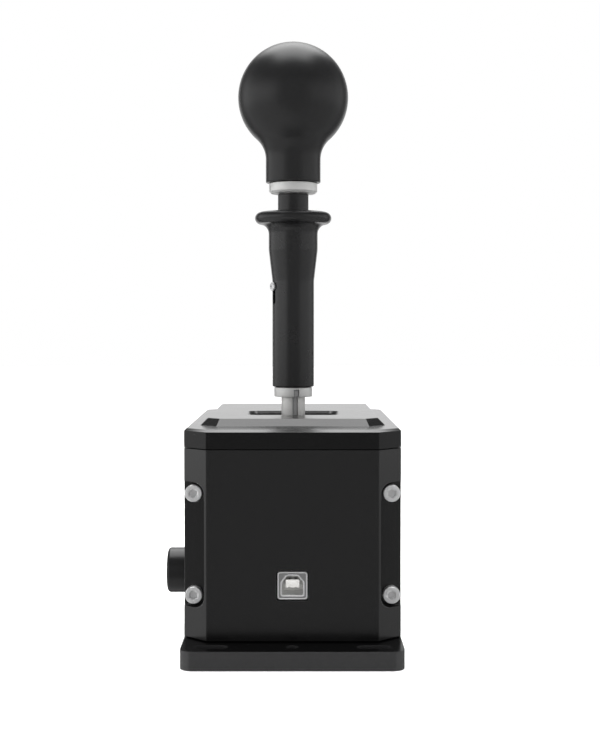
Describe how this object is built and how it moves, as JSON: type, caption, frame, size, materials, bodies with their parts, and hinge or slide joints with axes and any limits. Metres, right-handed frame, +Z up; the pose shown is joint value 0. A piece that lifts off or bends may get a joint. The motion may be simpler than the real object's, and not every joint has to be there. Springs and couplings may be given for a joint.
{
  "type": "h-pattern gear shifter",
  "caption": "Desktop H-pattern gear shifter for a driving simulator: ball knob, lift-up lock collar, machined black housing, slotted base plate and USB socket.",
  "frame": {"origin": "centre of the base plate's underside", "axes": "+Z up along the upright lever, +Y away from the side with the USB socket, +X to the right when looking at that side, away from the side knob"},
  "size_m": [0.0995, 0.173, 0.2585],
  "materials": {
    "black_anodised": "fine-blasted, black anodised",
    "bright_steel": "zinc-plated",
    "machined_aluminium": "turned, clear",
    "dark_steel": "blackened",
    "ground_steel": "ground",
    "spring_steel": "drawn wire",
    "black_sleeve": "turned, satin black anodised",
    "knob_black": "smooth satin",
    "pale_plastic": "moulded",
    "black_plastic": "moulded",
    "board_green": "solder mask",
    "bronze": "sintered",
    "pad_lining": "pressed lining"
  },
  "bodies": {
    "housing": {"base_plate": "black_anodised", "left_side_plate": "black_anodised", "right_side_plate": "black_anodised", "rear_end_plate": "black_anodised", "front_end_plate": "black_anodised", "top_cover": "black_anodised", "gate_plate": "dark_steel", "rear_screw_1": "bright_steel", "rear_screw_2": "bright_steel", "rear_screw_3": "bright_steel", "rear_screw_4": "bright_steel", "front_screw_1": "bright_steel", "front_screw_2": "bright_steel", "front_screw_3": "bright_steel", "front_screw_4": "bright_steel", "base_screw_1": "bright_steel", "base_screw_2": "bright_steel", "base_screw_3": "bright_steel", "base_screw_4": "bright_steel", "cover_screw_1": "bright_steel", "cover_screw_2": "bright_steel", "cover_screw_3": "bright_steel", "cover_screw_4": "bright_steel", "gate_screw_1": "bright_steel", "gate_screw_2": "bright_steel", "usb_shell": "bright_steel", "usb_insulator": "pale_plastic", "main_circuit_board": "board_green", "board_post_1": "bright_steel", "board_post_2": "bright_steel", "left_pivot_bush": "bronze", "right_pivot_bush": "bronze", "detent_housing": "machined_aluminium", "detent_spring": "spring_steel", "tilt_sensor": "black_plastic"},
    "cradle": {"cradle_frame": "machined_aluminium", "left_pivot_stub": "ground_steel", "right_pivot_stub": "ground_steel", "brake_cheek": "dark_steel", "detent_sector": "dark_steel", "select_sensor": "black_plastic"},
    "lever": {"lever_hub": "machined_aluminium", "select_pin": "ground_steel", "gate_pin": "ground_steel", "select_centring_spring": "spring_steel", "lever_shaft": "ground_steel", "guide_tube": "black_sleeve", "guide_screw": "bright_steel", "knob_ring": "machined_aluminium", "gear_knob": "knob_black", "sleeve_return_spring": "spring_steel"},
    "sleeve": {"lift_sleeve": "black_sleeve", "lock_collar": "machined_aluminium", "lockout_key": "dark_steel"},
    "pad": {"friction_pad": "pad_lining"},
    "side_knob": {"resistance_knob": "knob_black", "resistance_screw": "ground_steel"},
    "plunger": {"detent_plunger": "ground_steel"}
  },
  "joints": [
    {"name": "fore_aft_tilt", "type": "hinge", "parent": "housing", "child": "cradle", "pos_m": [0, -0.011, 0.04], "axis": [1, 0, 0], "range_deg": [-8, 8]},
    {"name": "select_tilt", "type": "hinge", "parent": "cradle", "child": "lever", "pos_m": [0, -0.011, 0.04], "axis": [0, 1, 0], "range_deg": [-13.5, 13.5], "stiffness_Nm_per_rad": 1.6, "deforming": ["select_centring_spring"]},
    {"name": "collar_lift", "type": "slide", "parent": "lever", "child": "sleeve", "axis": [0, 0, 1], "range_m": [0, 0.006], "stiffness_N_per_m": 1000, "springref_m": -0.003, "deforming": ["sleeve_return_spring"]},
    {"name": "pad_feed", "type": "slide", "parent": "housing", "child": "pad", "axis": [-1, 0, 0], "range_m": [0, 0.002]},
    {"name": "side_knob_turn", "type": "hinge", "parent": "pad", "child": "side_knob", "pos_m": [-0.044, -0.011, 0.0257], "axis": [-1, 0, 0], "range_deg": [0, 720]},
    {"name": "plunger_retract", "type": "slide", "parent": "housing", "child": "plunger", "axis": [0, 0, 1], "range_m": [-0.001, 0], "stiffness_N_per_m": 2500, "springref_m": 0.001, "deforming": ["detent_spring"]}
  ],
  "couplings": [
    {"joint": "pad_feed", "follows": "side_knob_turn", "m_per_rad": 0.000159}
  ]
}
